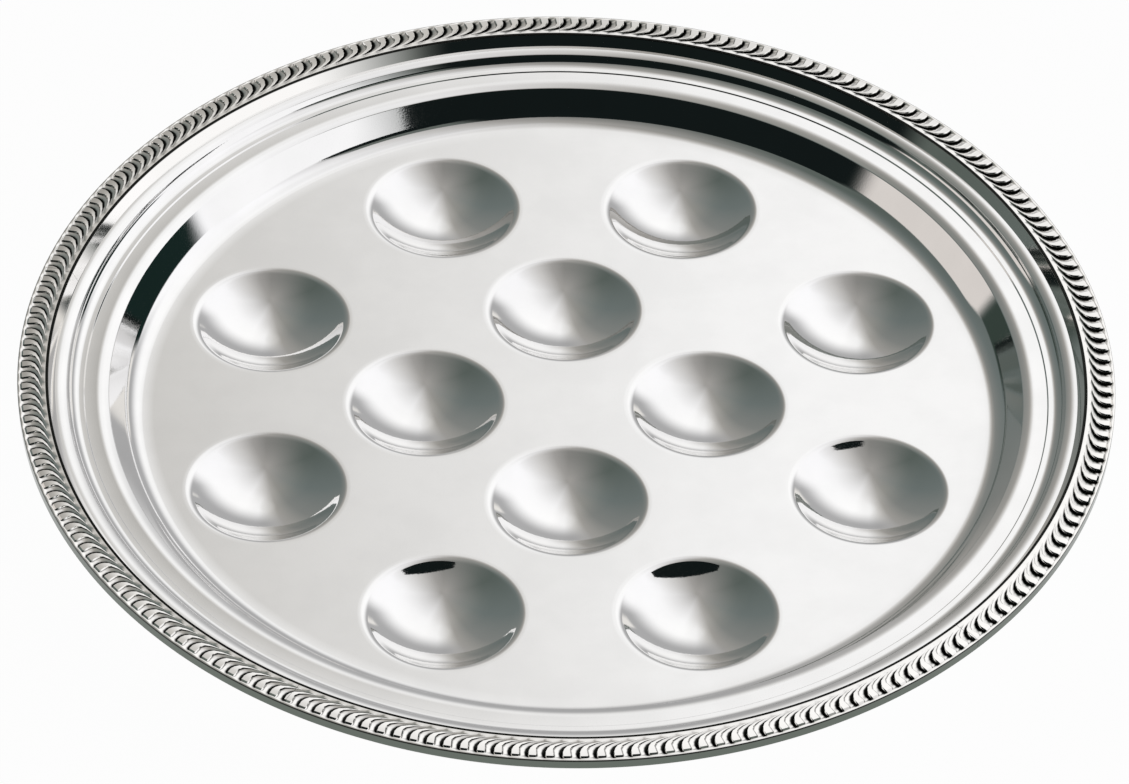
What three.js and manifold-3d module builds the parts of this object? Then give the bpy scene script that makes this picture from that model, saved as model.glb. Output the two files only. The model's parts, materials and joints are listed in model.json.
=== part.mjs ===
// A snail plate: one polished metal sheet, stamped with two rings of round wells and a stepped rim,
// and a gadroon border that was struck in strips and soldered on the rim end to end.
// Millimetres, +Z up. The plate stands on the small flats under its wells, with its axis on Z.

import * as THREE from 'three';
import { mergeVertices } from 'three/addons/utils/BufferGeometryUtils.js';
import Module from 'manifold-3d';

const wasm = await Module();
wasm.setup();

const RIGHT_ANGLE = Math.PI / 2;
const FULL_TURN = 2 * Math.PI;

// Sheet
const SHEET = 1.0; // thickness
const WALL_FOOT_BEND = 6.2; // bends of the rim, each on its hollow side
const EDGE_BEND = 0.3; // crisp edges on top of the wall and the step
const CROWN_BEND = 5.0; // slight bends across the band and the ring
const STEP_COVE = 1.8; // hollow at the foot of the step

// Wells
const INNER_WELLS = 4;
const OUTER_WELLS_PER_INNER = 2;
const WELL_RADIUS = 22.0; // to the outer end of the rounded shoulder
const WELL_DEPTH = 7.5; // of the round form, before its flat
const WELL_SHOULDER = 3.3; // radius of the shoulder's upper face
const WELL_FLAT = 4.5; // radius of the small flat inside the bottom
const WELL_GAP = 10.7; // floor left between neighbouring wells

// Rim, from the wells outwards
const FLOOR_MARGIN = 9.0; // outer wells to the foot of the wall
const WALL_HEIGHT = 8.15;
const WALL_ANGLE = THREE.MathUtils.degToRad(54);
const BAND_SLOPE = 2.3; // inner part of the plain band, which climbs outwards
const BAND_RISE = 0.6;
const BAND_WIDTH = 8.5; // rest of the band, which falls a little
const BAND_FALL = 0.3;
const STEP_WIDTH = 0.5; // step between the band and the ring
const STEP_HEIGHT = 2.75;
const RING_SLOPE = 1.8; // inner part of the plain ring, which climbs outwards
const RING_RISE = 0.5;
const RING_WIDTH = 2.8; // flat rest of the ring, inside the border

// Gadroon border
const BORDER_WIDTH = 8.8;
const BORDER_OVERHANG = 0.8; // past the edge of the sheet
const BORDER_EDGE = 2.5; // height of its plain outer side
const BEAD_HEIGHT = 3.0; // height of its plain inner bead
const BEAD_SLOPE = 0.8; // how far the bead's inner face leans
const LOBE_PITCH = 4.35; // along the middle of the border
const LOBE_HEIGHT = 1.0; // crest above hollow
const LOBE_INSET = 0.5; // outer edge to the end of a lobe's head
const LOBE_LENGTH = 6.3; // head to tip, towards the axis
const LOBE_SWEEP = 5.3; // how far the tip trails its head round the rim
const SWEEP_POWER = 1.7; // the tail leaves the head straight and then curls over
const STRIPS = 5; // the last is cut short to close the ring
const CLOSING_SHARE = 0.8; // of a full strip's length
const FIRST_JOINT = RIGHT_ANGLE; // where the first strip starts
const JOINT_GAP = 0.3; // solder line between two strips

// A comma-shaped lobe, from its tail to its head: place along it, and shares of its height and pitch
const LOBE_STATIONS = [
  { along: 0.62, rise: 0.75, crest: 0.16 },
  { along: 0.28, rise: 1.0, crest: 0.36 },
  { along: 0.04, rise: 0.8, crest: 0.42 },
];

// Facets
const DISH_SEGMENTS = 56;
const WELL_SEGMENTS = 18;
const BOWL_STEPS = 3;
const SHOULDER_STEPS = 2;
const BEND_FACET = THREE.MathUtils.degToRad(45); // most that one facet of a rim bend turns

// Form of a well: a round bowl that meets the shoulder's arc at the steepest slope
const bowlAndShoulder = (WELL_RADIUS ** 2 + WELL_DEPTH ** 2) / (2 * WELL_DEPTH);
const bowlRadius = bowlAndShoulder - WELL_SHOULDER;
const steepest = Math.asin(WELL_RADIUS / bowlAndShoulder);
const flatSlope = Math.asin(WELL_FLAT / bowlRadius);
const bowlCentre = (bowlRadius + SHEET) * Math.cos(flatSlope);
const floorTop = bowlCentre - bowlAndShoulder * Math.cos(steepest) + WELL_SHOULDER;

// Rings of wells, each well one gap away from its neighbours
const wellSpacing = 2 * WELL_RADIUS + WELL_GAP;
const outerWells = INNER_WELLS * OUTER_WELLS_PER_INNER;
const outerTurn = Math.PI / outerWells;
const innerRing = wellSpacing / 2 / Math.sin(Math.PI / INNER_WELLS);
const outerRing = innerRing * Math.cos(outerTurn)
  + Math.sqrt(wellSpacing ** 2 - (innerRing * Math.sin(outerTurn)) ** 2);

// Radii and heights of the rim
const wallFoot = outerRing + WELL_RADIUS + FLOOR_MARGIN;
const wallTop = wallFoot + WALL_HEIGHT / Math.tan(WALL_ANGLE);
const bandCrown = wallTop + BAND_SLOPE;
const bandEnd = bandCrown + BAND_WIDTH;
const stepTop = bandEnd + STEP_WIDTH;
const ringCrown = stepTop + RING_SLOPE;
const rimRadius = ringCrown + RING_WIDTH + BORDER_WIDTH;
const wallHeight = floorTop + WALL_HEIGHT;
const bandHeight = wallHeight + BAND_RISE;
const stepHeight = bandHeight - BAND_FALL + STEP_HEIGHT;
const seat = stepHeight + RING_RISE;

// Lobes and strips of the border
const lobeCount = Math.round(FULL_TURN * (rimRadius - BORDER_WIDTH / 2) / LOBE_PITCH);
const lobeTurn = FULL_TURN / lobeCount;
const stripTurn = FULL_TURN / (STRIPS - 1 + CLOSING_SHARE);

// Closed three.js geometry to a solid that can be joined and cut
function toSolid(geometry) {
  const skin = geometry.clone();
  skin.deleteAttribute('normal');
  skin.deleteAttribute('uv');
  const merged = mergeVertices(skin);
  const corners = merged.index.array;
  const triangles = [];
  for (let i = 0; i < corners.length; i += 3) {
    const [a, b, c] = corners.slice(i, i + 3);
    if (a !== b && b !== c && c !== a) {
      triangles.push(a, b, c);
    }
  }
  return new wasm.Manifold(new wasm.Mesh({
    numProp: 3,
    vertProperties: new Float32Array(merged.attributes.position.array),
    triVerts: new Uint32Array(triangles),
  }));
}

// Solid back to a geometry for a mesh
function toGeometry(solid) {
  const mesh = solid.getMesh();
  const geometry = new THREE.BufferGeometry();
  geometry.setAttribute('position', new THREE.BufferAttribute(mesh.vertProperties, mesh.numProp));
  geometry.setIndex(new THREE.BufferAttribute(mesh.triVerts, 1));
  geometry.computeVertexNormals();
  return geometry;
}

// Profile of radius and height, turned about Z
function revolve(profile, segments) {
  return new THREE.LatheGeometry(profile, segments).rotateX(RIGHT_ANGLE);
}

// Line of the dish from its middle to its edge, rounded at the bends: depth 0 is the upper face
function dishLine(depth) {
  const corners = [
    new THREE.Vector2(0, floorTop),
    new THREE.Vector2(wallFoot, floorTop),
    new THREE.Vector2(wallTop, wallHeight),
    new THREE.Vector2(bandCrown, bandHeight),
    new THREE.Vector2(bandEnd, bandHeight - BAND_FALL),
    new THREE.Vector2(stepTop, stepHeight),
    new THREE.Vector2(ringCrown, seat),
    new THREE.Vector2(rimRadius - BORDER_OVERHANG, seat),
  ];
  const bends = [0, WALL_FOOT_BEND, EDGE_BEND, CROWN_BEND, STEP_COVE, EDGE_BEND, CROWN_BEND];
  const line = [new THREE.Vector2(corners[0].x, corners[0].y - depth)];
  for (let i = 1; i < bends.length; i++) {
    const arriving = corners[i].clone().sub(corners[i - 1]).normalize();
    const leaving = corners[i + 1].clone().sub(corners[i]).normalize();
    const side = Math.sign(arriving.cross(leaving));
    const from = Math.atan2(arriving.y, arriving.x);
    const turn = Math.atan2(leaving.y, leaving.x) - from;
    const upperRadius = side > 0 ? bends[i] : bends[i] + SHEET;
    const tangent = upperRadius * Math.tan(Math.abs(turn) / 2);
    const start = corners[i].clone().addScaledVector(arriving, -tangent);
    const centre = start.add(new THREE.Vector2(-arriving.y, arriving.x).multiplyScalar(side * upperRadius));
    const radius = upperRadius + side * depth;
    const steps = Math.ceil(Math.abs(turn) / BEND_FACET);
    for (let step = 0; step <= steps; step++) {
      const slope = from + turn * step / steps;
      const spoke = new THREE.Vector2(Math.sin(slope), -Math.cos(slope)).multiplyScalar(side * radius);
      line.push(spoke.add(centre));
    }
  }
  const edge = corners.at(-1);
  line.push(new THREE.Vector2(edge.x, edge.y - depth));
  return line;
}

// Line of a well from its flat to the end of its shoulder: depth 0 is the upper face
function wellLine(depth) {
  const line = [];
  for (let step = 0; step <= BOWL_STEPS; step++) {
    const slope = THREE.MathUtils.lerp(flatSlope, steepest, step / BOWL_STEPS);
    const radius = bowlRadius + depth;
    line.push(new THREE.Vector2(radius * Math.sin(slope), bowlCentre - radius * Math.cos(slope)));
  }
  for (let step = 1; step <= SHOULDER_STEPS; step++) {
    const slope = THREE.MathUtils.lerp(steepest, 0, step / SHOULDER_STEPS);
    const radius = WELL_SHOULDER - depth;
    line.push(new THREE.Vector2(
      WELL_RADIUS - radius * Math.sin(slope),
      floorTop - WELL_SHOULDER + radius * Math.cos(slope),
    ));
  }
  return line;
}

// Well line closed over at a height, as a round solid
function wellForm(depth, top) {
  const line = wellLine(depth);
  return toSolid(revolve([
    new THREE.Vector2(0, line[0].y),
    ...line,
    new THREE.Vector2(WELL_RADIUS, top),
    new THREE.Vector2(0, top),
  ], WELL_SEGMENTS));
}

function wellCentres() {
  const centres = [];
  for (let i = 0; i < INNER_WELLS; i++) {
    const angle = FULL_TURN * i / INNER_WELLS;
    centres.push([innerRing * Math.cos(angle), innerRing * Math.sin(angle), 0]);
  }
  for (let i = 0; i < outerWells; i++) {
    const angle = FULL_TURN * i / outerWells + outerTurn;
    centres.push([outerRing * Math.cos(angle), outerRing * Math.sin(angle), 0]);
  }
  return centres;
}

// Dish with its wells pressed down through the floor
function plateBody() {
  const underside = wellForm(SHEET, floorTop - SHEET / 2);
  const hollow = wellForm(0, floorTop + SHEET);
  let plate = toSolid(revolve([...dishLine(SHEET), ...dishLine(0).reverse()], DISH_SEGMENTS));
  for (const centre of wellCentres()) {
    plate = plate.add(underside.translate(centre)).subtract(hollow.translate(centre));
  }
  return toGeometry(plate);
}

// One circle of the border's skin: the shares of each pitch where it has points, and their heights
function borderRow(inset, lean, points) {
  const radius = rimRadius - inset;
  const row = [];
  for (let lobe = 0; lobe < lobeCount; lobe++) {
    for (const [share, height] of points) {
      const angle = FIRST_JOINT + (lobe + share) * lobeTurn + lean / radius;
      row.push([radius * Math.cos(angle), radius * Math.sin(angle), seat + height]);
    }
  }
  return row;
}

function plainRow(inset, lean, height) {
  return borderRow(inset, lean, [[0, height]]);
}

// Circle through all the lobes at one station: hollow, and the two sides of the crest
function lobeRow({ along, rise, crest }) {
  const inset = LOBE_INSET + along * LOBE_LENGTH;
  const lean = LOBE_SWEEP * along ** SWEEP_POWER;
  const hollow = THREE.MathUtils.lerp(BORDER_EDGE, BEAD_HEIGHT, along);
  const top = hollow + rise * LOBE_HEIGHT;
  return borderRow(inset, lean, [[0, hollow], [0.5 - crest / 2, top], [0.5 + crest / 2, top]]);
}

// Whole gadroon border: circles from the inner foot over the lobes to the outer foot, zipped together
function borderRing() {
  const rows = [
    plainRow(BORDER_WIDTH, LOBE_SWEEP, 0),
    plainRow(BORDER_WIDTH - BEAD_SLOPE, LOBE_SWEEP, BEAD_HEIGHT),
    plainRow(LOBE_INSET + LOBE_LENGTH, LOBE_SWEEP, BEAD_HEIGHT),
    ...LOBE_STATIONS.map(lobeRow),
    plainRow(0, 0, BORDER_EDGE),
    plainRow(0, 0, 0),
  ];
  const firstPoint = [];
  let pointCount = 0;
  for (const row of rows) {
    firstPoint.push(pointCount);
    pointCount += row.length;
  }
  const triangles = [];
  rows.forEach((row, r) => {
    const after = (r + 1) % rows.length;
    const next = rows[after];
    const here = (i) => firstPoint[r] + i % row.length;
    const there = (j) => firstPoint[after] + j % next.length;
    let i = 0;
    let j = 0;
    while (i < row.length || j < next.length) {
      if ((i + 1) * next.length <= (j + 1) * row.length) {
        triangles.push(here(i), there(j), here(i + 1));
        i += 1;
      } else {
        triangles.push(here(i), there(j), there(j + 1));
        j += 1;
      }
    }
  });
  const geometry = new THREE.BufferGeometry();
  geometry.setAttribute('position', new THREE.Float32BufferAttribute(rows.flat(2), 3));
  geometry.setIndex(triangles);
  return toSolid(geometry);
}

// Wedge about Z that one strip is cut to, half a solder line short of both its neighbours
function stripWedge(from, to) {
  const reach = rimRadius + BORDER_WIDTH;
  const clear = Math.asin(JOINT_GAP / 2 / reach);
  const half = (to - from) / 2;
  const middle = (from + to) / 2;
  const tip = JOINT_GAP / 2 / Math.sin(half);
  const outline = new THREE.Shape();
  outline.moveTo(tip * Math.cos(middle), tip * Math.sin(middle));
  outline.lineTo(reach * Math.cos(from + clear), reach * Math.sin(from + clear));
  outline.absarc(0, 0, reach, from + clear, to - clear, false);
  const height = BEAD_HEIGHT + BORDER_EDGE + LOBE_HEIGHT;
  const wedge = new THREE.ExtrudeGeometry(outline, { depth: 2 * height, bevelEnabled: false });
  return toSolid(wedge.translate(0, 0, seat - height));
}

// Full strips one after another, and a shorter one cut to close the ring
function borderStrips() {
  const ring = borderRing();
  const strips = [];
  for (let i = 0; i < STRIPS; i++) {
    const closing = i === STRIPS - 1;
    const from = FIRST_JOINT + i * stripTurn;
    const to = closing ? FIRST_JOINT + FULL_TURN : from + stripTurn;
    strips.push({
      name: closing ? 'border_closing_strip' : `border_strip_${i + 1}`,
      geometry: toGeometry(ring.intersect(stripWedge(from, to))),
    });
  }
  return strips;
}

function polishedMetal(color, roughness) {
  return new THREE.MeshStandardMaterial({ color, roughness, metalness: 1 });
}

const snailPlate = new THREE.Group();
snailPlate.name = 'snail_plate';

const body = new THREE.Mesh(plateBody(), polishedMetal(0xe4e5e4, 0.08));
body.name = 'plate_body';
snailPlate.add(body);

for (const { name, geometry } of borderStrips()) {
  const strip = new THREE.Mesh(geometry, polishedMetal(0xd6d6d1, 0.18));
  strip.name = name;
  snailPlate.add(strip);
}

export default snailPlate;
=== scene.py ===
"""A snail plate of polished silver: a stamped dish with twelve wells and a gadroon border in five strips."""

import json
import math
from collections import namedtuple

import bmesh
import bpy
from bpy.props import FloatProperty, FloatVectorProperty, IntProperty, PointerProperty
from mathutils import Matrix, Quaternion, Vector


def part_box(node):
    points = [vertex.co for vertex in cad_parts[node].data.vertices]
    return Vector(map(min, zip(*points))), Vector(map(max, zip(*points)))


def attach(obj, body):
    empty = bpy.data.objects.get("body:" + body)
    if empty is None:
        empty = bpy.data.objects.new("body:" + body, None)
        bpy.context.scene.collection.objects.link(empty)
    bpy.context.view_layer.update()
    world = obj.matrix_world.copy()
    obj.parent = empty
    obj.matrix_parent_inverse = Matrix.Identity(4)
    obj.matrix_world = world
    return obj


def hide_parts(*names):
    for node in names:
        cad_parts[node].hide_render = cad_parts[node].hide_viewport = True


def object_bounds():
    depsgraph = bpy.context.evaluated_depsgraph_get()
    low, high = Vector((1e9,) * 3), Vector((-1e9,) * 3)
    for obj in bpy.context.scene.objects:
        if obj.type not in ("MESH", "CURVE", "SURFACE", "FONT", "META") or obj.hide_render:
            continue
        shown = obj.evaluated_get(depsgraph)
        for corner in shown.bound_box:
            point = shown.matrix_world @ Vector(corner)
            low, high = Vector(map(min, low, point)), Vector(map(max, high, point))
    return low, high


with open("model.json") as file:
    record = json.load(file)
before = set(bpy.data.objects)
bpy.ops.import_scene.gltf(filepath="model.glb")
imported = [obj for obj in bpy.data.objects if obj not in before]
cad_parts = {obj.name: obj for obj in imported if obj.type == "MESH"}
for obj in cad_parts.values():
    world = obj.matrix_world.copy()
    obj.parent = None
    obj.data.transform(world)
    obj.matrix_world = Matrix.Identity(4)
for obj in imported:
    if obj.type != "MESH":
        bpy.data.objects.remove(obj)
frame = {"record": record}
CAD_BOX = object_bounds()

bl_info = {
    "name": "Snail Plate",
    "version": (1, 0, 0),
    "blender": (4, 5, 0),
    "location": "View3D > Sidebar > Snail Plate",
    "description": "Models a polished snail plate with a gadroon border around its CAD frame",
    "category": "Add Mesh",
}

MM = 0.001
FULL_TURN = 2 * math.pi
UP = (0, 0, 1)
AXIS = (0, 0, 0)
MERGE_DISTANCE = 0.002 * MM
POINT_REACH = 0.001  # how close a point has to be to a place to count as the point there
SMOOTH_ANGLE = math.radians(35)  # edges that turn more than this stay sharp

# Places that the frame gives
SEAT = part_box("plate_body")[1].z  # top of the plain ring, which carries the border
RIM_RADIUS = CAD_BOX[1].y
WELL_CENTRES = [
    (Vector(opening["box_m"][0]) + Vector(opening["box_m"][1])).to_2d() / 2
    for opening in frame["record"]["physics"]["openings"]
    if "_well_" in opening["name"]
]

# How finely the dish is drawn
WELL_SEGMENTS = 96
BOWL_RINGS = 14
SHOULDER_RINGS = 6
RIM_SEGMENTS = 256
BEND_RINGS = 6

# Finish of the polished sheet: faint wipe marks and a fine grain
MARK_SCALE, MARK_DETAIL = 60, 3
MARK_RANGE = (0.3, 0.7)
MARK_SHADE = 0.96  # brightness of a mark, as a share of the sheet's
MARK_ROUGHNESS = 0.02
GRAIN_SCALE, GRAIN_DETAIL = 2200, 2
GRAIN_STRENGTH, GRAIN_DEPTH = 0.2, 0.012 * MM

# Light round the plate, by degrees right of the far side: dark on the left, white on the right,
# and softer higher up
LOW_LIGHT = (
    (-180, (0.16, 0.17, 0.16)),
    (-94, (0.09, 0.11, 0.1)),
    (-46, (0.14, 0.165, 0.16)),
    (-22, (0.21, 0.22, 0.21)),
    (-10, (0.34, 0.33, 0.31)),
    (-4, (0.58, 0.57, 0.55)),
    (4, (0.92, 0.92, 0.92)),
    (16, (1.0, 1.0, 1.0)),
    (90, (0.98, 0.98, 1.0)),
    (134, (0.42, 0.41, 0.4)),
    (150, (0.24, 0.24, 0.23)),
    (180, (0.16, 0.17, 0.16)),
)
HIGH_LIGHT = (
    (-180, (0.2, 0.2, 0.19)),
    (-94, (0.1, 0.12, 0.11)),
    (-46, (0.18, 0.2, 0.19)),
    (-22, (0.27, 0.27, 0.25)),
    (-10, (0.4, 0.39, 0.37)),
    (4, (0.68, 0.67, 0.66)),
    (20, (0.94, 0.94, 0.95)),
    (80, (0.94, 0.94, 0.95)),
    (122, (0.62, 0.61, 0.6)),
    (150, (0.35, 0.34, 0.33)),
    (180, (0.2, 0.2, 0.19)),
)

LOW_TO_HIGH = (42, 66)  # degrees up, where the low light gives way to the high light
OVERHEAD_RANGE, OVERHEAD_POWER = (54, 88), 1.6  # degrees up, where both give way to the light from above

# Soft panels near the horizon, in degrees: where each starts and ends to the right of the far side,
# and its top
Panel = namedtuple("Panel", "rise fall top share shade lifted", defaults=(False,))
LOW_PANELS = (
    Panel((-16, 0), (46, 62), (16, 40), 0.85, (0.31, 0.31, 0.315)),
    Panel((34, 37), (50, 55), (9, 14), 1.0, (0.8, 0.78, 0.75)),
    Panel((-108, -102), (-65, -61), (24, 28), 1.0, (0.68, 0.64, 0.61), lifted=True),
    Panel((-65, -61), (-50, -40), (7, 12), 1.0, (0.035, 0.05, 0.042)),
    Panel((50, 55), (82, 87), (14, 18), 1.0, (0.008, 0.018, 0.016), lifted=True),
)
LIFT_SLANT, LIFT_DROP, LIFT_EDGE = 0.38, 24.0, 1.0  # a lifted panel's slanted lower edge, and its softness
SIDE_PANEL = Panel((84, 90), (124, 152), (32, 40), 1.0, (0.95, 0.95, 0.96))

# The black screen behind the camera, in degrees to its right and up: its top slopes down to the right
# and curves down to the left, and its right end is less dark
FLAG_SPAN = (-80, -72, 62, 70)
FLAG_TOP, FLAG_EDGE = 62, 1.2
FLAG_SLOPE_START, FLAG_SLOPE = 22, 0.24
FLAG_CURVE = 0.0045
FLAG_TO_SHADE = (24, 36)

# The black card's corners, to the right and up in metres, with the lower pair first
CARD_CORNERS = ((-0.1, 0.06), (0.45, 0.39), (-0.1, 0.16), (0.45, 0.51))
FLOOR_SIZE = 8
FLOOR_WHITE = 0.97  # share of pure white in the floor as it is seen
FILM_WIDTH = 36
CLIP_REACH = 10  # how far the camera sees, in camera distances

# Rows of one lobe of the border, from its tip at the bead to its head, in millimetres: how far in from
# the edge, how far the row's ends bow in, where the foot of the wide flank, the crest and the deep groove
# are, clockwise from the middle of the head, and the heights of the deep groove, the flute before the next
# lobe and the crest
LobeRow = namedtuple("LobeRow", "inset bow left crest right groove flute top")
LOBE_ROWS = (
    LobeRow(6.5, 0.0, -5.6, -4.9, -4.7, 2.98, 2.98, 3.0),
    LobeRow(5.7, 0.0, -3.1, -1.9, -1.5, 2.6, 2.9, 3.15),
    LobeRow(4.7, 0.0, -1.5, -0.1, 0.35, 2.4, 2.85, 3.3),
    LobeRow(3.6, 0.0, -0.9, 0.65, 1.15, 2.25, 2.8, 3.35),
    LobeRow(2.5, 0.0, -1.1, 1.0, 1.55, 2.2, 2.8, 3.33),
    LobeRow(1.05, 0.8, -1.3, 0.9, 1.4, 2.25, 2.8, 3.25),
    LobeRow(0.65, 0.8, -1.1, 0.7, 1.15, 2.6, 2.82, 2.85),
)
BEAD_ROWS = 4  # plain rows of the border before its lobes
LAST_LOBE_ROW = BEAD_ROWS + len(LOBE_ROWS) - 1
EDGE_ROW = LAST_LOBE_ROW + 2  # top of the plain outer side
BORDER_ROWS = LAST_LOBE_ROW + 4  # from the inner foot over the border and back under it
CREASE = 0.12  # width of the crease at the foot of the wide flank, as a share of the way to the crest
CREASE_RISE = 0.85  # its height, as a share of the lobe's height over the flute
BRINK = 0.45  # place of the brink of the deep groove, as a share of the way from the crest
BRINK_FALL = 0.35  # its depth, as a share of the groove's depth under the crest
FLUTE_START = 0.3  # where the flute starts, as a share of the way from the deep groove to the next lobe
FLUTE_FALL = 0.12 * MM
LIP_FALL = 0.1 * MM  # how much the lip falls to the outer edge
LOBE_COLUMNS = 6
GROOVE_COLUMN = 4
SPARE_LOBES = 3  # past each end of a strip, before it is cut

# Painted shade in the border's grooves and along its edges, and a painted dark reflection on its plain outer
# side, by its rows and by columns across a lobe
LOBE_SHADE_ROWS = (BEAD_ROWS + 0.1, BEAD_ROWS + 1.2, LAST_LOBE_ROW - 0.1, LAST_LOBE_ROW + 0.3)
# Rows of a painted shade line along the bead's inner edge
BEAD_SHADE_LINE = (0.9, 0.96, 1.9, 2.0)
# Rows of a painted shade line along the outer edge of the lip
EDGE_SHADE_LINE = (EDGE_ROW - 0.25, EDGE_ROW - 0.1, EDGE_ROW + 0.12, EDGE_ROW + 0.22)
# Rows where the plain outer side turns to a painted dark reflection
SIDE_REFLECTION_ROWS = (EDGE_ROW - 0.1, EDGE_ROW + 0.05)
GROOVE_SHADE = (0.9, 1.32)  # columns from the deep groove, where the painted shade ends
CREASE_SHADE = (2.76, 2.94)  # columns from the middle of the lobe, where the painted shade starts
CREASE_SHARE = 0.6  # painted shade in the crease, as a share of that in the groove
PAINTED_SHADE_ROUGHNESS = 0.3


def length(name, description, default):
    """A size in metres that a user may change."""
    return FloatProperty(name=name, description=description, default=default, unit="LENGTH", precision=5)


def angle(name, description, degrees):
    """An angle that a user may change."""
    return FloatProperty(name=name, description=description, default=math.radians(degrees), subtype="ANGLE")


def share(name, description, default):
    """A number from 0 to 1 that a user may change."""
    return FloatProperty(name=name, description=description, default=default, min=0, max=1, subtype="FACTOR")


def colour(name, description, default):
    """A colour that a user may change."""
    return FloatVectorProperty(
        name=name, description=description, default=default, size=3, min=0, max=1, subtype="COLOR"
    )


class DishSizes(bpy.types.PropertyGroup):
    """Sizes of the stamped dish"""

    sheet: length("Sheet", "Thickness of the metal sheet", 1.0 * MM)
    well_radius: length("Well radius", "Middle of a well to the outer end of its rounded shoulder", 22.0 * MM)
    well_depth: length("Well depth", "Depth of a well's round form", 7.5 * MM)
    well_shoulder: length("Well shoulder", "Radius of the rounding at a well's edge", 3.3 * MM)
    wall_height: length("Wall height", "Floor to the edge at the wall's top", 8.0 * MM)
    wall_angle: angle("Wall angle", "Slope of the wall", 54)
    wall_foot_bend: length("Wall foot bend", "Radius where the floor turns up into the wall", 6.2 * MM)
    edge_bend: length("Edge bend", "Radius on the edges at the wall's top and the step's top", 0.5 * MM)
    band_slope: length("Band slope", "Width of the band's sloping inner part", 2.3 * MM)
    band_rise: length("Band rise", "How much that part climbs outwards", 0.6 * MM)
    band_width: length("Band width", "Rest of the band, to the corner of the step", 7.9 * MM)
    band_fall: length("Band fall", "How much that rest falls outwards", 0.3 * MM)
    ridge_place: length("Ridge place", "Corner of the step to the foot of the small ridge", 3.6 * MM)
    ridge_width: length("Ridge width", "How far that ridge's face leans", 0.28 * MM)
    ridge_height: length("Ridge height", "Height of that ridge", 0.3 * MM)
    ridge_bend: length("Ridge bend", "Radius at its foot and top", 0.1 * MM)
    step_width: length("Step width", "How far the step's face leans", 1.1 * MM)
    step_height: length("Step height", "Height of that step", 2.6 * MM)
    step_cove: length("Step cove", "Radius of the hollow at the step's foot", 3.2 * MM)
    ring_slope: length("Ring slope", "Width of the sloping inner part of the ring above the step", 1.8 * MM)
    ring_rise: length("Ring rise", "How much that part climbs outwards", 0.5 * MM)
    ring_width: length("Ring width", "Flat rest of the ring, to the border", 1.5 * MM)
    crown_bend: length("Crown bend", "Radius of the bends across the band and the ring", 8.0 * MM)


class BorderSizes(bpy.types.PropertyGroup):
    """Sizes of the gadroon border"""

    width: length("Width", "Inner foot to outer edge", 10.1 * MM)
    overhang: length("Overhang", "How far the border passes the edge of the sheet", 0.8 * MM)
    bead_height: length("Bead height", "Height of the plain inner bead", 3.0 * MM)
    bead_lean: length("Bead lean", "How far the bead's inner face leans", 1.8 * MM)
    # The dark line along the bead's inner edge is painted shade in the border's material; this width places
    # it.
    bead_line: length("Bead line", "Width of the dark line along the bead's inner edge", 0.75 * MM)
    bead_end: length("Bead end", "Gap between the plain bead and the tips of the lobes", 0.2 * MM)
    edge_height: length("Edge height", "Height of the plain outer side", 2.9 * MM)
    lip_width: length("Lip width", "Plain lip outside the heads of the lobes", 0.35 * MM)
    lobes: IntProperty(name="Lobes", description="Lobes in the whole ring", default=211, min=12)
    first_joint: angle("First joint", "Where the first strip starts, counter-clockwise from +X", 90)
    strip_turn: angle("Strip turn", "Length of a full strip round the rim", 75)
    joint_gap: length("Joint gap", "Solder line between two strips", 0.08 * MM)


class SilverFinish(bpy.types.PropertyGroup):
    """Colours and polish of the silver"""

    dish_colour: colour("Dish colour", "Polished silver plate of the dish", (0.935, 0.93, 0.925))
    border_colour: colour("Border colour", "Struck silver of the border", (0.95, 0.935, 0.91))
    # This colour is a painted dark reflection on the border's plain outer side.
    side_reflection_colour: colour("Dull colour", "Unpolished silver of the border's outer side", (0.135, 0.155, 0.135))
    # This colour is painted shade: near-black in the grooves and creases beside the lobes, and in the lines
    # along the bead's inner edge and the outer edge.
    painted_shade_colour: colour("Tarnish colour", "Tarnish in the grooves beside the lobes", (0.015, 0.016, 0.014))
    polish: share("Polish", "Roughness of the polished sheet", 0.03)
    border_polish: share("Border polish", "Roughness of the border's crests", 0.05)


class StudioLook(bpy.types.PropertyGroup):
    """Camera, light and floor around the plate"""

    distance: length("Camera distance", "Camera to the middle of the dish's floor", 1.6991)
    elevation: angle("Camera elevation", "Height of the view above the horizon", 42.875)
    turn: angle("Camera turn", "Turn of the view round the plate", 1.875)
    roll: angle("Camera roll", "Tilt of the picture", 1.508)
    aim_right: length("Aim right", "Where the picture's middle is, right of the floor's middle", -0.47 * MM)
    aim_up: length("Aim up", "Where the picture's middle is, above the floor's middle", 3.08 * MM)
    lens: FloatProperty(name="Lens", description="Focal length, on a film 36 mm wide", default=196.77,
                        unit="CAMERA")
    strength: FloatProperty(name="Strength", description="Strength of the light", default=1.06, min=0)
    overhead: colour("Overhead", "The studio straight above the plate", (0.345, 0.335, 0.32))
    shade: colour("Shade", "The dark screen on the right, behind the camera", (0.12, 0.135, 0.125))
    flag: colour("Flag", "The black screen behind the camera", (0.006, 0.009, 0.009))
    card_place: length("Card place", "Where the black card hangs, along Y", -0.14)
    floor_colour: colour("Floor colour", "The pale floor", (0.85, 0.85, 0.85))


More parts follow.
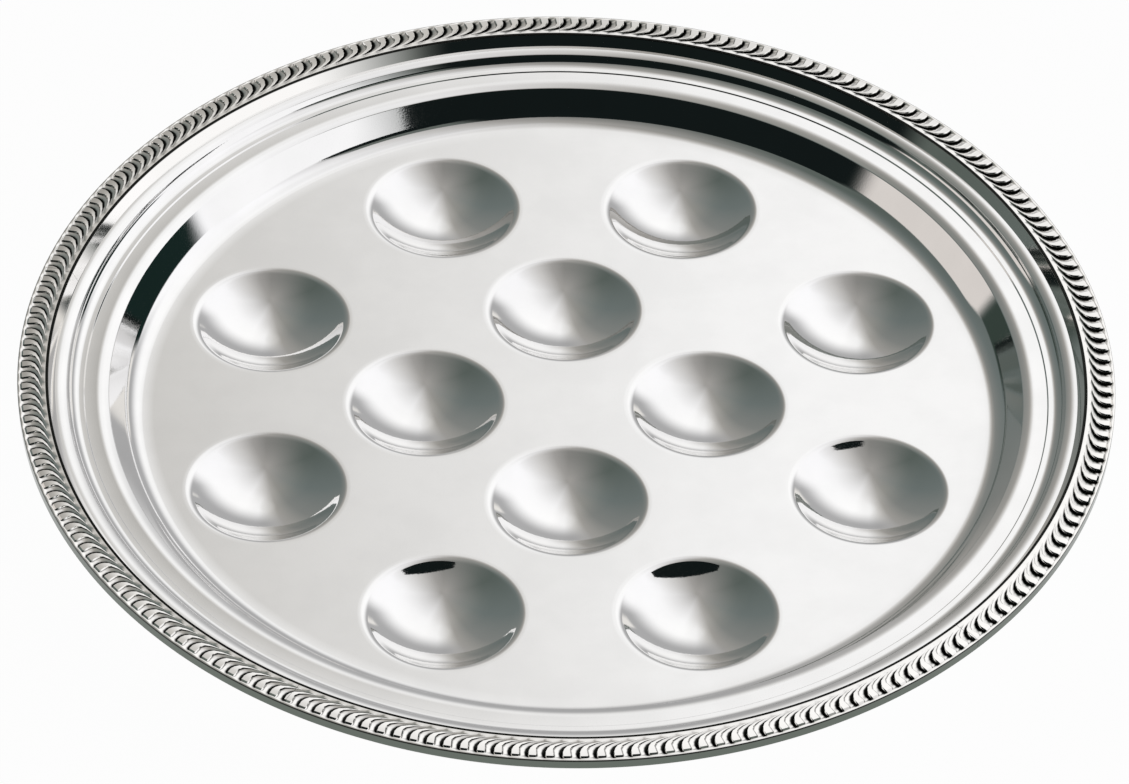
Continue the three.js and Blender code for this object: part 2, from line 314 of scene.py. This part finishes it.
class Value:
    """A socket of a node tree: sums of values add Math nodes, and node() adds any other node."""

    def __init__(self, tree, socket=None):
        self.tree = tree
        self.socket = socket

    def node(self, kind, settings=None, inputs=None, output=0):
        """Adds a node of a kind, sets it, fills its sockets with values or links, and gives one output."""
        made = self.tree.nodes.new(kind)
        for name, setting in (settings or {}).items():
            if name == "stops":
                self.fill_ramp(made.color_ramp, setting)
            else:
                setattr(made, name, setting)
        for name, given in (inputs or {}).items():
            if isinstance(given, Value):
                self.tree.links.new(given.socket, made.inputs[name])
            else:
                made.inputs[name].default_value = given
        return Value(self.tree, made.outputs[output] if made.outputs else None)

    @staticmethod
    def fill_ramp(ramp, stops):
        """Gives a colour ramp its stops, each a place and a colour."""
        while len(ramp.elements) < len(stops):
            ramp.elements.new(1)
        for element, (place, shade) in zip(ramp.elements, stops):
            element.position = place
            element.color = (*shade, 1)

    def math(self, operation, first, second):
        return self.node("ShaderNodeMath", {"operation": operation}, {0: first, 1: second})

    def __add__(self, other):
        return self.math("ADD", self, other)

    __radd__ = __add__

    def __sub__(self, other):
        return self.math("SUBTRACT", self, other)

    def __rsub__(self, other):
        return self.math("SUBTRACT", other, self)

    def __mul__(self, other):
        return self.math("MULTIPLY", self, other)

    __rmul__ = __mul__

    def __abs__(self):
        return self.math("ABSOLUTE", self, 0)

    def at_least(self, other):
        """The larger of two values."""
        return self.math("MAXIMUM", self, other)

    def smooth(self, low, high):
        """0 below low, 1 above high, and a smooth step between."""
        return self.node(
            "ShaderNodeMapRange",
            {"interpolation_type": "SMOOTHSTEP"},
            {"Value": self, "From Min": low, "From Max": high},
        )

    def band(self, start, full, fade, end):
        """1 between full and fade, and smooth steps to 0 at the start and the end."""
        return self.smooth(start, full) * (1 - self.smooth(fade, end))

    def mix(self, first, second):
        """A colour between two colours, with this value as the share of the second."""
        return self.node(
            "ShaderNodeMix", {"data_type": "RGBA"}, {"Factor": self, 6: first, 7: second}, output=2
        )


def new_material(name):
    """An empty node material, and a value that adds nodes to its tree."""
    material = bpy.data.materials.new(name)
    material.use_nodes = True
    material.node_tree.nodes.clear()
    return material, Value(material.node_tree)


def opaque(rgb):
    """A colour with full alpha."""
    return (*rgb, 1)


def noise(tree, place, scale, detail):
    """Noise with grains of a size set by scale, as a value about 0.5."""
    return tree.node("ShaderNodeTexNoise", None, {"Vector": place, "Scale": scale, "Detail": detail})


def polished_silver(finish):
    """Mirror-polished plate with faint wipe marks and a fine grain."""
    material, tree = new_material("polished_silver")
    place = tree.node("ShaderNodeTexCoord", output="Object")
    marks = noise(tree, place, MARK_SCALE, MARK_DETAIL)
    grain = noise(tree, place, GRAIN_SCALE, GRAIN_DETAIL)
    marked = [MARK_SHADE * part for part in finish.dish_colour]
    base = marks.smooth(*MARK_RANGE).mix(opaque(finish.dish_colour), opaque(marked))
    dents = tree.node(
        "ShaderNodeBump", None, {"Strength": GRAIN_STRENGTH, "Distance": GRAIN_DEPTH, "Height": grain}
    )
    shader = tree.node(
        "ShaderNodeBsdfPrincipled",
        None,
        {
            "Base Color": base,
            "Metallic": 1.0,
            "Roughness": finish.polish + MARK_ROUGHNESS * marks,
            "Normal": dents,
        },
    )
    tree.node("ShaderNodeOutputMaterial", None, {"Surface": shader})
    return material


def border_silver(finish):
    """Struck silver, bright on the lobes, with painted shade in the grooves and along the bead's inner edge
    and the outer edge, and a painted dark reflection on the plain outer side.
    """
    material, tree = new_material("border_silver")
    pattern = tree.node("ShaderNodeTexCoord", output="UV")
    column = LOBE_COLUMNS * tree.node("ShaderNodeSeparateXYZ", None, {"Vector": pattern}, output="X")
    row = BORDER_ROWS * tree.node("ShaderNodeSeparateXYZ", None, {"Vector": pattern}, output="Y")
    # Painted shade: the deep groove beside each lobe, and more faintly the crease at the foot of its wide
    # flank, take a near-black colour.
    groove = 1 - abs(column - GROOVE_COLUMN).smooth(*GROOVE_SHADE)
    crease = CREASE_SHARE * abs(column - LOBE_COLUMNS / 2).smooth(*CREASE_SHADE)
    dark = row.band(*LOBE_SHADE_ROWS) * groove.at_least(crease)
    # Painted shade lines along the bead's inner edge and the lip's outer edge
    dark = dark.at_least(row.band(*BEAD_SHADE_LINE)).at_least(row.band(*EDGE_SHADE_LINE))
    # Painted reflection: the plain outer side is coloured a dark grey-green.
    side = row.smooth(*SIDE_REFLECTION_ROWS)
    base = side.mix(opaque(finish.border_colour), opaque(finish.side_reflection_colour))
    base = dark.mix(base, opaque(finish.painted_shade_colour))
    shader = tree.node(
        "ShaderNodeBsdfPrincipled",
        None,
        {
            "Base Color": base,
            "Metallic": 1.0,
            "Roughness": finish.border_polish + PAINTED_SHADE_ROUGHNESS * dark,
        },
    )
    tree.node("ShaderNodeOutputMaterial", None, {"Surface": shader})
    return material


def select_only(piece):
    """Makes a piece the only selected object, and the active one."""
    bpy.ops.object.select_all(action="DESELECT")
    piece.select_set(True)
    bpy.context.view_layer.objects.active = piece


def start_piece(name, add_primitive, **settings):
    """Adds a primitive as a new piece, with its place in its mesh, and leaves it in edit mode."""
    bpy.ops.object.select_all(action="DESELECT")
    add_primitive(**settings)
    piece = bpy.context.object
    piece.name = name
    bpy.ops.object.transform_apply(location=True, rotation=True, scale=True)
    bpy.ops.object.mode_set(mode="EDIT")
    bpy.ops.mesh.select_mode(type="VERT")
    return piece


def start_square(name, size):
    """Adds a flat square with a point at each corner as a new piece, and leaves it in edit mode."""
    return start_piece(name, bpy.ops.mesh.primitive_grid_add, x_subdivisions=1, y_subdivisions=1, size=size)


def select_points(piece, test):
    """In edit mode, selects the points that pass a test, with the edges and faces between them."""
    bpy.ops.mesh.select_all(action="DESELECT")
    mesh = bmesh.from_edit_mesh(piece.data)
    for point in mesh.verts:
        point.select_set(test(point))
    mesh.select_flush(True)
    bmesh.update_edit_mesh(piece.data)


def move_point(piece, start, target):
    """In edit mode, moves the point at a start to a target."""
    select_points(piece, lambda point: (point.co - start).length < POINT_REACH)
    bpy.ops.transform.translate(value=target - start)


def draw_rings(line, centre):
    """Extrudes the selected loop along a line of radii and heights, which starts where the loop is."""
    for (radius, height), (next_radius, next_height) in zip(line, line[1:]):
        growth = next_radius / radius
        bpy.ops.mesh.extrude_edges_move()
        bpy.ops.transform.resize(value=(growth, growth, 1), center_override=centre)
        bpy.ops.transform.translate(value=(0, 0, next_height - height))


def finish_piece(piece, material, node):
    """Gives a piece its material and smooth shading, and ties it to the frame in place of a CAD node."""
    select_only(piece)
    bpy.ops.object.shade_smooth_by_angle(angle=SMOOTH_ANGLE)
    piece.data.materials.clear()
    piece.data.materials.append(material)
    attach(piece, "root")
    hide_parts(node)


def floor_height(dish):
    """Height of the dish's floor, which hangs below the ring that carries the border."""
    band = dish.wall_height + dish.band_rise - dish.band_fall + dish.ridge_height
    return SEAT - dish.ring_rise - dish.step_height - band


def well_line(dish):
    """Radii and heights of a well's upper face, from near its middle to the flat floor around it."""
    reach = (dish.well_radius ** 2 + dish.well_depth ** 2) / (2 * dish.well_depth)
    bowl_radius = reach - dish.well_shoulder
    steepest = math.asin(dish.well_radius / reach)
    floor = floor_height(dish)
    bowl_centre = floor + reach * math.cos(steepest) - dish.well_shoulder
    line = []
    for ring in range(1, BOWL_RINGS + 1):
        slope = steepest * ring / BOWL_RINGS
        line.append((bowl_radius * math.sin(slope), bowl_centre - bowl_radius * math.cos(slope)))
    for ring in range(1, SHOULDER_RINGS + 1):
        slope = steepest * (1 - ring / SHOULDER_RINGS)
        line.append((
            dish.well_radius - dish.well_shoulder * math.sin(slope),
            floor - dish.well_shoulder * (1 - math.cos(slope)),
        ))
    line.append((dish.well_radius + dish.sheet, floor))
    return line


def rounded_line(corners, bends):
    """A line through corners, each a radius and a height, with its inner corners rounded by the bends."""
    line = [corners[0]]
    for before, corner, after, bend in zip(corners, corners[1:], corners[2:], bends):
        arriving = math.atan2(corner[1] - before[1], corner[0] - before[0])
        turn = math.atan2(after[1] - corner[1], after[0] - corner[0]) - arriving
        side = math.copysign(1, turn)
        run = bend * math.tan(abs(turn) / 2)
        centre_x = corner[0] - run * math.cos(arriving) - side * bend * math.sin(arriving)
        centre_y = corner[1] - run * math.sin(arriving) + side * bend * math.cos(arriving)
        for ring in range(BEND_RINGS + 1):
            slope = arriving + turn * ring / BEND_RINGS
            line.append((
                centre_x + side * bend * math.sin(slope),
                centre_y - side * bend * math.cos(slope),
            ))
    return [*line, corners[-1]]


def rim_line(dish, border):
    """Radii and heights of the rim's upper face, from the floor inside the wall to the edge of the sheet."""
    floor = floor_height(dish)
    ring_crown = RIM_RADIUS - border.width - dish.ring_width
    step_top = ring_crown - dish.ring_slope
    step_foot = step_top - dish.step_width
    band_crown = step_foot - dish.band_width
    wall_top = band_crown - dish.band_slope
    wall_foot = wall_top - dish.wall_height / math.tan(dish.wall_angle)
    crown_height = floor + dish.wall_height + dish.band_rise
    ridge_foot = step_foot - dish.ridge_place
    fall_to_ridge = dish.band_fall * (1 - dish.ridge_place / dish.band_width)
    corners = [
        (wall_foot - dish.wall_foot_bend, floor),
        (wall_foot, floor),
        (wall_top, floor + dish.wall_height),
        (band_crown, crown_height),
        (ridge_foot, crown_height - fall_to_ridge),
        (ridge_foot + dish.ridge_width, crown_height - fall_to_ridge + dish.ridge_height),
        (step_foot, crown_height - dish.band_fall + dish.ridge_height),
        (step_top, SEAT - dish.ring_rise),
        (ring_crown, SEAT),
        (RIM_RADIUS - border.overhang, SEAT),
    ]
    edge, crown, ridge = dish.edge_bend, dish.crown_bend, dish.ridge_bend
    bends = [dish.wall_foot_bend, edge, crown, ridge, ridge, dish.step_cove, edge, crown]
    return rounded_line(corners, bends)


def model_wells(dish):
    """Models one well ring by ring, then copies it to every place in the floor."""
    line = well_line(dish)
    first = WELL_CENTRES[0]
    piece = start_piece(
        "silver_dish",
        bpy.ops.mesh.primitive_circle_add,
        vertices=WELL_SEGMENTS,
        radius=line[0][0],
        fill_type="TRIFAN",
        location=(*first, line[0][1]),
    )
    select_points(piece, lambda point: point.is_boundary)
    draw_rings(line, (*first, 0))
    bpy.ops.mesh.select_all(action="SELECT")
    for here, there in zip(WELL_CENTRES, WELL_CENTRES[1:]):
        bpy.ops.mesh.duplicate_move(TRANSFORM_OT_translate={"value": (*(there - here), 0)})
    return piece


def model_rim(dish, border):
    """Adds the rim to the wells' mesh, from the floor's edge outwards."""
    line = rim_line(dish, border)
    bpy.ops.mesh.select_all(action="DESELECT")
    bpy.ops.mesh.primitive_circle_add(vertices=RIM_SEGMENTS, radius=line[0][0], location=(0, 0, line[0][1]))
    draw_rings(line, AXIS)


def fill_floor(piece, dish, border):
    """Closes the flat floor between the wells and the rim."""
    floor_edge = rim_line(dish, border)[0][0] + MERGE_DISTANCE
    select_points(piece, lambda point: point.is_boundary and point.co.xy.length < floor_edge)
    bpy.ops.mesh.fill(use_beauty=True)


def give_thickness(piece, dish):
    """Makes the upper face a sheet of metal, worn flat underneath where the wells stand."""
    bpy.ops.mesh.select_all(action="SELECT")
    bpy.ops.mesh.remove_doubles(threshold=MERGE_DISTANCE)
    bpy.ops.mesh.normals_make_consistent(inside=False)
    mesh = bmesh.from_edit_mesh(piece.data)
    if sum(face.normal.z * face.calc_area() for face in mesh.faces) < 0:
        bpy.ops.mesh.flip_normals()
    bpy.ops.object.mode_set(mode="OBJECT")
    sheet = piece.modifiers.new("sheet", "SOLIDIFY")
    sheet.thickness = dish.sheet
    sheet.offset = -1
    sheet.use_even_offset = True
    bpy.ops.object.modifier_apply(modifier=sheet.name)
    bpy.ops.object.mode_set(mode="EDIT")
    select_points(piece, lambda point: point.co.z < 0)
    bpy.ops.transform.resize(value=(1, 1, 0), center_override=AXIS)
    bpy.ops.object.mode_set(mode="OBJECT")


class SNAIL_PLATE_OT_dish(bpy.types.Operator):
    """Models the stamped dish, with its wells and rim"""

    bl_idname = "snail_plate.dish"
    bl_label = "Dish"

    def execute(self, context):
        scene = context.scene
        piece = model_wells(scene.dish_sizes)
        model_rim(scene.dish_sizes, scene.border_sizes)
        fill_floor(piece, scene.dish_sizes, scene.border_sizes)
        give_thickness(piece, scene.dish_sizes)
        finish_piece(piece, polished_silver(scene.silver_finish), "plate_body")
        return {"FINISHED"}


def pitch_at(border, inset):
    """Distance between two lobes at an inset from the edge."""
    return FULL_TURN * (RIM_RADIUS - inset) / border.lobes


def plain_row(border, inset, height, start):
    """A row with no lobes: place, inset and height of each point across one pitch, from a start."""
    step = pitch_at(border, inset) / LOBE_COLUMNS
    return [(start + column * step, inset, height) for column in range(LOBE_COLUMNS + 1)]


def lobe_row(border, row):
    """A row across a lobe and the flute beside it: place, inset and height of each point."""
    inset, bow = row.inset * MM, row.bow * MM
    pitch = pitch_at(border, inset)
    left, crest, right = row.left * MM, row.crest * MM, row.right * MM
    groove, flute, top = row.groove * MM, row.flute * MM, row.top * MM
    across = [
        (left, flute),
        (left + CREASE * (crest - left), flute + CREASE_RISE * (top - flute)),
        (crest, top),
        (crest + BRINK * (right - crest), top + BRINK_FALL * (groove - top)),
        (right, groove),
        (right + FLUTE_START * (left + pitch - right), flute - FLUTE_FALL),
    ]
    points = [
        (place, inset + bow * ((2 * place - left - right) / pitch) ** 2, height)
        for place, height in across
    ]
    place, first_inset, height = points[0]
    return [*points, (place + pitch, first_inset, height)]


def border_rows(border):
    """Rows of one pitch of the border: over the bead and the lobe to the outer edge, and back underneath."""
    tip, head = LOBE_ROWS[0].left * MM, LOBE_ROWS[-1].left * MM
    foot = plain_row(border, border.width, 0, tip)
    return [
        foot,
        plain_row(border, border.width - border.bead_lean, border.bead_height, tip),
        plain_row(border, border.width - border.bead_lean - border.bead_line, border.bead_height, tip),
        plain_row(border, LOBE_ROWS[0].inset * MM + border.bead_end, border.bead_height, tip),
        *(lobe_row(border, row) for row in LOBE_ROWS),
        plain_row(border, border.lip_width, border.edge_height, head),
        plain_row(border, 0, border.edge_height - LIP_FALL, head),
        plain_row(border, 0, 0, head),
        foot,
    ]


def model_lobe(border):
    """Models one pitch of the border from a grid, moving its points row by row."""
    rows = border_rows(border)
    piece = start_piece(
        "gadroon_closing_strip",
        bpy.ops.mesh.primitive_grid_add,
        x_subdivisions=LOBE_COLUMNS,
        y_subdivisions=len(rows) - 1,
        size=2,
    )
    for index, row in enumerate(rows):
        for column, (place, inset, height) in enumerate(row):
            start = Vector((2 * column / LOBE_COLUMNS - 1, 2 * index / (len(rows) - 1) - 1, 0))
            radius = RIM_RADIUS - inset
            turn = border.first_joint - place / radius
            target = Vector((radius * math.cos(turn), radius * math.sin(turn), SEAT + height))
            move_point(piece, start, target)
    return piece


def turn_selected(turn):
    """Turns what is selected round the plate's axis, counter-clockwise from above."""
    bpy.ops.transform.rotate(value=-turn, orient_axis="Z", center_override=AXIS)


def model_run(border):
    """Models a run of lobes that is longer than a strip at both its ends."""
    piece = model_lobe(border)
    lobe_turn = FULL_TURN / border.lobes
    copies = math.ceil(border.strip_turn / lobe_turn) + 2 * SPARE_LOBES
    bpy.ops.mesh.select_all(action="SELECT")
    turn_selected(-SPARE_LOBES * lobe_turn)
    bpy.ops.mesh.spin(steps=copies, dupli=True, angle=-copies * lobe_turn, center=AXIS, axis=UP)
    bpy.ops.mesh.select_all(action="SELECT")
    bpy.ops.mesh.remove_doubles(threshold=MERGE_DISTANCE)
    bpy.ops.object.mode_set(mode="OBJECT")
    return piece


def cut_end(place, side, gap):
    """Cuts a strip square at an angle, half a solder line short of it; side 1 keeps what follows."""
    inward = side * Vector((-math.sin(place), math.cos(place), 0))
    bpy.ops.mesh.select_all(action="SELECT")
    bpy.ops.mesh.bisect(plane_co=inward * gap / 2, plane_no=inward, use_fill=True, clear_inner=True)


def cut_strip(piece, border, start, end):
    """Turns a run by whole lobes to its place, and cuts it to a strip."""
    lobe_turn = FULL_TURN / border.lobes
    select_only(piece)
    bpy.ops.object.mode_set(mode="EDIT")
    bpy.ops.mesh.select_all(action="SELECT")
    turn_selected(math.floor((start - border.first_joint) / lobe_turn) * lobe_turn)
    cut_end(start, 1, border.joint_gap)
    cut_end(end, -1, border.joint_gap)
    bpy.ops.mesh.select_all(action="SELECT")
    bpy.ops.mesh.normals_make_consistent(inside=False)
    bpy.ops.object.mode_set(mode="OBJECT")


class SNAIL_PLATE_OT_border(bpy.types.Operator):
    """Models the strips of the gadroon border"""

    bl_idname = "snail_plate.border"
    bl_label = "Border"

    def execute(self, context):
        scene = context.scene
        border = scene.border_sizes
        silver = border_silver(scene.silver_finish)
        run = model_run(border)
        strips = int(FULL_TURN / border.strip_turn)
        for number in range(1, strips + 1):
            select_only(run)
            bpy.ops.object.duplicate()
            strip = context.object
            strip.name = f"gadroon_strip_{number}"
            start = border.first_joint + (number - 1) * border.strip_turn
            cut_strip(strip, border, start, start + border.strip_turn)
            finish_piece(strip, silver, f"border_strip_{number}")
        start = border.first_joint + strips * border.strip_turn
        cut_strip(run, border, start, border.first_joint + FULL_TURN)
        finish_piece(run, silver, "border_closing_strip")
        return {"FINISHED"}


def in_degrees(socket):
    """An angle in radians as degrees."""
    return math.degrees(1) * socket


def light_studio(studio):
    """Soft light: dark on the left, white on the right, grey overhead and black behind the camera."""
    world = bpy.data.worlds.new("soft_studio")
    bpy.context.scene.world = world
    world.use_nodes = True
    world.node_tree.nodes.clear()
    tree = Value(world.node_tree)
    direction = tree.node("ShaderNodeTexCoord", output="Generated")
    x, y, z = (tree.node("ShaderNodeSeparateXYZ", None, {"Vector": direction}, output=axis) for axis in "XYZ")
    compass = in_degrees(tree.math("ARCTAN2", x, y))
    behind = in_degrees(tree.math("ARCTAN2", x, 0 - y))
    height = in_degrees(tree.math("ARCSINE", z, 0))
    place = (compass + 180) * (1 / 360)
    low, high = (light_ramp(tree, place, stops) for stops in (LOW_LIGHT, HIGH_LIGHT))
    light = height.smooth(*LOW_TO_HIGH).mix(low, high)
    lowest, highest = OVERHEAD_RANGE
    overhead = tree.node(
        "ShaderNodeMapRange", None, {"Value": height, "From Min": lowest, "From Max": highest}
    )
    light = tree.math("POWER", overhead, OVERHEAD_POWER).mix(light, opaque(studio.overhead))
    for panel in LOW_PANELS:
        light = panel_cover(panel, compass, height).mix(light, opaque(panel.shade))
    right, left = (behind - FLAG_SLOPE_START).at_least(0), (0 - behind).at_least(0)
    above = height - FLAG_TOP + FLAG_SLOPE * right + FLAG_CURVE * left * left
    cover = behind.band(*FLAG_SPAN) * (1 - above.smooth(-FLAG_EDGE, FLAG_EDGE))
    dark = behind.smooth(*FLAG_TO_SHADE).mix(opaque(studio.flag), opaque(studio.shade))
    light = cover.mix(light, dark)
    light = panel_cover(SIDE_PANEL, compass, height).mix(light, opaque(SIDE_PANEL.shade))
    background = tree.node("ShaderNodeBackground", None, {"Color": light, "Strength": studio.strength})
    tree.node("ShaderNodeOutputWorld", None, {"Surface": background})


def light_ramp(tree, place, stops):
    """The studio's light all round, from a place between 0 and 1."""
    shares = [((degrees + 180) / 360, shade) for degrees, shade in stops]
    return tree.node("ShaderNodeValToRGB", {"stops": shares}, {"Fac": place})


def panel_cover(panel, compass, height):
    """How much a soft panel covers the view, from 0 to 1."""
    cover = panel.share * compass.band(*panel.rise, *panel.fall)
    if panel.lifted:
        lower_edge = LIFT_SLANT * abs(compass) - LIFT_DROP
        cover = cover * (height - lower_edge).smooth(-LIFT_EDGE, LIFT_EDGE)
    return cover * (1 - height.smooth(*panel.top))


def hang_card(studio):
    """A black card close to the near edge, which only the polished wells see."""
    card = start_square("dark_card", 2)
    starts = [Vector((x, y, 0)) for y in (-1, 1) for x in (-1, 1)]
    for start, (right, up) in zip(starts, CARD_CORNERS):
        move_point(card, start, Vector((right, studio.card_place, up)))
    bpy.ops.object.mode_set(mode="OBJECT")
    material, tree = new_material("black_card")
    matt = tree.node("ShaderNodeEmission", None, {"Color": opaque(studio.flag), "Strength": 1.0})
    tree.node("ShaderNodeOutputMaterial", None, {"Surface": matt})
    card.data.materials.append(material)
    card.visible_camera = False
    card.visible_diffuse = False
    card.visible_shadow = False


def lay_floor(studio):
    """A pale floor that shows as white and keeps a soft shadow."""
    floor = start_square("floor", FLOOR_SIZE)
    bpy.ops.object.mode_set(mode="OBJECT")
    material, tree = new_material("pale_floor")
    seen = tree.node("ShaderNodeLightPath", output="Is Camera Ray")
    for ray in ("Is Glossy Ray", "Is Transmission Ray"):
        seen = seen.at_least(tree.node("ShaderNodeLightPath", output=ray))
    matt = tree.node("ShaderNodeBsdfDiffuse", None, {"Color": opaque(studio.floor_colour)})
    white = tree.node("ShaderNodeEmission", None, {"Color": (1, 1, 1, 1), "Strength": 1.0})
    both = tree.node("ShaderNodeMixShader", None, {"Fac": FLOOR_WHITE * seen, 1: matt, 2: white})
    tree.node("ShaderNodeOutputMaterial", None, {"Surface": both})
    floor.data.materials.append(material)


def place_camera(studio, middle):
    """A camera at the photograph's viewing angle."""
    level = math.cos(studio.elevation)
    back = Vector((
        -math.sin(studio.turn) * level,
        -math.cos(studio.turn) * level,
        math.sin(studio.elevation),
    ))
    looking = (-back).to_track_quat("-Z", "Y")
    aim = middle + looking @ Vector((studio.aim_right, studio.aim_up, 0))
    place = middle + studio.distance * back
    view = (aim - place).to_track_quat("-Z", "Y") @ Quaternion(UP, studio.roll)
    bpy.ops.object.select_all(action="DESELECT")
    bpy.ops.object.camera_add(location=place, rotation=view.to_euler())
    camera = bpy.context.object
    camera.data.lens = studio.lens
    camera.data.sensor_width = FILM_WIDTH
    camera.data.sensor_fit = "HORIZONTAL"
    camera.data.clip_end = CLIP_REACH * studio.distance
    bpy.context.scene.camera = camera


class SNAIL_PLATE_OT_stage(bpy.types.Operator):
    """Sets the floor, the soft studio light and the camera"""

    bl_idname = "snail_plate.stage"
    bl_label = "Stage"

    def execute(self, context):
        scene = context.scene
        studio = scene.studio_look
        light_studio(studio)
        hang_card(studio)
        lay_floor(studio)
        place_camera(studio, Vector((0, 0, floor_height(scene.dish_sizes))))
        scene.view_settings.view_transform = "Standard"
        return {"FINISHED"}


class SNAIL_PLATE_PT_panel(bpy.types.Panel):
    """Lists the steps that build the plate"""

    bl_idname = "SNAIL_PLATE_PT_panel"
    bl_label = "Snail Plate"
    bl_space_type = "VIEW_3D"
    bl_region_type = "UI"
    bl_category = "Snail Plate"

    def draw(self, context):
        for step in OPERATORS:
            self.layout.operator(step.bl_idname)
        for holder in SETTINGS:
            group = getattr(context.scene, holder)
            for name in group.__annotations__:
                self.layout.prop(group, name)


OPERATORS = (SNAIL_PLATE_OT_dish, SNAIL_PLATE_OT_border, SNAIL_PLATE_OT_stage)
SETTINGS = {
    "dish_sizes": DishSizes,
    "border_sizes": BorderSizes,
    "silver_finish": SilverFinish,
    "studio_look": StudioLook,
}


def register():
    for holder, group in SETTINGS.items():
        bpy.utils.register_class(group)
        setattr(bpy.types.Scene, holder, PointerProperty(type=group))
    for made in (*OPERATORS, SNAIL_PLATE_PT_panel):
        bpy.utils.register_class(made)


def unregister():
    for made in (SNAIL_PLATE_PT_panel, *OPERATORS):
        bpy.utils.unregister_class(made)
    for holder, group in SETTINGS.items():
        delattr(bpy.types.Scene, holder)
        bpy.utils.unregister_class(group)


def main():
    register()
    bpy.ops.snail_plate.dish()
    bpy.ops.snail_plate.border()
    bpy.ops.snail_plate.stage()


if __name__ == "__main__":
    main()
